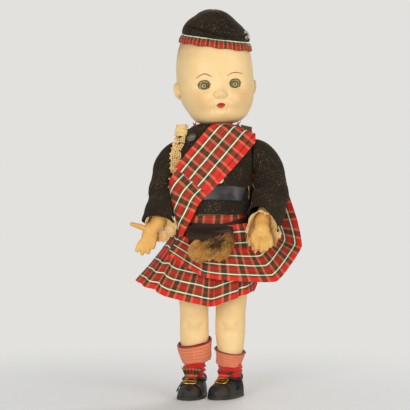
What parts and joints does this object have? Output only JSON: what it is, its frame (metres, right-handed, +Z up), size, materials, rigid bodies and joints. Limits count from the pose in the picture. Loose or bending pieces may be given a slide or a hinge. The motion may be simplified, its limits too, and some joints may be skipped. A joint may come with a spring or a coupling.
{
  "type": "celluloid doll in highland dress",
  "caption": "Strung celluloid doll standing in highland dress: felt jacket and cap, tartan ribbon kilt, sash and plaid, fur sporran, knitted socks and buckled shoes.",
  "frame": {"origin": "on the floor under the middle of the doll's box", "axes": "+Z up the doll, the doll faces -Y, +X toward the doll's left hand"},
  "size_m": [0.1752, 0.0949, 0.3968],
  "materials": {
    "celluloid": "glossy, yellowed",
    "glass": "glossy",
    "plaster": "matte",
    "wood": "raw",
    "steel": "dull",
    "elastic": "matte",
    "felt": "felted",
    "tartan": "woven ribbon",
    "red_ribbon": "woven ribbon",
    "lace": "yellowed lace",
    "white_tuft": "soft",
    "leather": "semi-gloss",
    "horn": "polished",
    "gilt": "worn gilt",
    "silver": "worn silver",
    "pearl": "pearly",
    "fur": "long fur",
    "sock_knit": "knitted",
    "cuff_knit": "knitted"
  },
  "bodies": {
    "torso": {"torso_shell": "celluloid", "jacket_body": "felt", "waist_belt": "leather", "belt_buckle": "gilt", "sash_lower": "tartan", "sash_upper": "tartan", "jabot_lace": "lace", "neck_ribbon": "red_ribbon", "kilt": "tartan", "kilt_waistband": "tartan", "sporran_strap": "leather", "plaid_tail": "tartan", "arm_elastic": "elastic", "leg_elastic": "elastic", "neck_hook": "steel", "collar_button": "silver", "pearl_button": "pearl", "plaid_brooch": "horn"},
    "head": {"head_shell": "celluloid", "right_eye": "glass", "left_eye": "glass", "right_eye_setting": "plaster", "left_eye_setting": "plaster", "neck_disc": "wood", "cap_crown": "felt", "cap_band": "tartan", "cap_cockade": "white_tuft"},
    "right_arm": {"right_arm": "celluloid", "right_sleeve": "felt", "right_cuff_lace": "lace"},
    "left_arm": {"left_arm": "celluloid", "left_sleeve": "felt", "left_cuff_lace": "lace"},
    "right_leg": {"right_leg": "celluloid", "right_sock": "sock_knit", "right_sock_cuff": "cuff_knit", "right_shoe_upper": "leather", "right_shoe_sole": "leather", "right_shoe_buckle": "gilt", "right_shoe_tongue": "tartan"},
    "left_leg": {"left_leg": "celluloid", "left_sock": "sock_knit", "left_sock_cuff": "cuff_knit", "left_shoe_upper": "leather", "left_shoe_sole": "leather", "left_shoe_buckle": "gilt", "left_shoe_tongue": "tartan", "left_shoe_bow": "leather"},
    "sporran": {"sporran_flap": "leather", "sporran_pouch": "fur"}
  },
  "joints": [
    {"name": "neck_turn", "type": "hinge", "parent": "torso", "child": "head", "pos_m": [0.0009, 0.0069, 0.273], "axis": [-0.0645, 0, 0.9979], "range_deg": [-60, 60]},
    {"name": "right_shoulder", "type": "hinge", "parent": "torso", "child": "right_arm", "pos_m": [-0.0389, 0.0069, 0.243], "axis": [-1, 0, 0], "range_deg": [-15, 120]},
    {"name": "left_shoulder", "type": "hinge", "parent": "torso", "child": "left_arm", "pos_m": [0.0337, 0.0069, 0.243], "axis": [-1, 0, 0], "range_deg": [-4, 120]},
    {"name": "right_hip", "type": "hinge", "parent": "torso", "child": "right_leg", "pos_m": [-0.0112, 0.0069, 0.165], "axis": [-1, 0, 0], "range_deg": [-20, 40], "deforming": ["kilt", "plaid_tail"]},
    {"name": "left_hip", "type": "hinge", "parent": "torso", "child": "left_leg", "pos_m": [0.0016, 0.0069, 0.165], "axis": [-1, 0, 0], "range_deg": [-20, 40], "deforming": ["kilt", "plaid_tail"]},
    {"name": "sporran_swing", "type": "hinge", "parent": "torso", "child": "sporran", "pos_m": [-0.0073, -0.0235, 0.172], "axis": [-1, 0, 0], "range_deg": [0, 70]}
  ]
}
